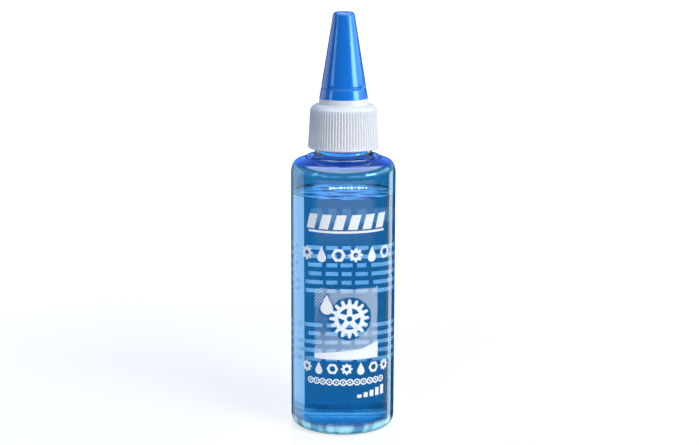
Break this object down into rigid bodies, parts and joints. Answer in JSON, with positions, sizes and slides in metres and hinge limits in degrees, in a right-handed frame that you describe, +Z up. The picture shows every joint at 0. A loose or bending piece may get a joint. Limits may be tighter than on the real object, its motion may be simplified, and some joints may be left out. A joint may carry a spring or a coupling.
{
  "type": "chain lube bottle",
  "caption": "Clear round squeeze bottle of blue chain oil with a ribbed screw cap, a tapered drip spout and a push-on cone cap.",
  "frame": {"origin": "centre of the foot that the bottle stands on", "axes": "+Z up along the bottle's axis towards the tip cap, -Y towards the front with the picture panel, +X to the front's right"},
  "size_m": [0.033, 0.0332, 0.132],
  "materials": {
    "clear_plastic": "clear gloss",
    "blue_oil": "clear liquid",
    "liner_foam": "matte",
    "white_plastic": "satin",
    "blue_plastic": "gloss",
    "white_ink": "satin",
    "tint_ink": "satin",
    "back_ink": "satin"
  },
  "bodies": {
    "bottle": {"bottle": "clear_plastic", "chain_lube": "blue_oil", "front_print": "white_ink", "panel_tint": "tint_ink", "back_print": "back_ink"},
    "liner": {"cap_liner": "liner_foam"},
    "cap": {"spout_cap": "white_plastic"},
    "tip": {"tip_cap": "blue_plastic"}
  },
  "joints": [
    {"name": "cap_lift", "type": "slide", "parent": "bottle", "child": "liner", "axis": [0, 0, 1], "range_m": [0, 0.01272]},
    {"name": "cap_turn", "type": "hinge", "parent": "liner", "child": "cap", "pos_m": [0, 0, 0.0955], "axis": [0, 0, 1], "range_deg": [0, 1440]},
    {"name": "tip_cap_pull", "type": "slide", "parent": "cap", "child": "tip", "axis": [0, 0, 1], "range_m": [0, 0.026]}
  ],
  "couplings": [
    {"joint": "cap_lift", "follows": "cap_turn", "m_per_rad": 0.00050611}
  ]
}
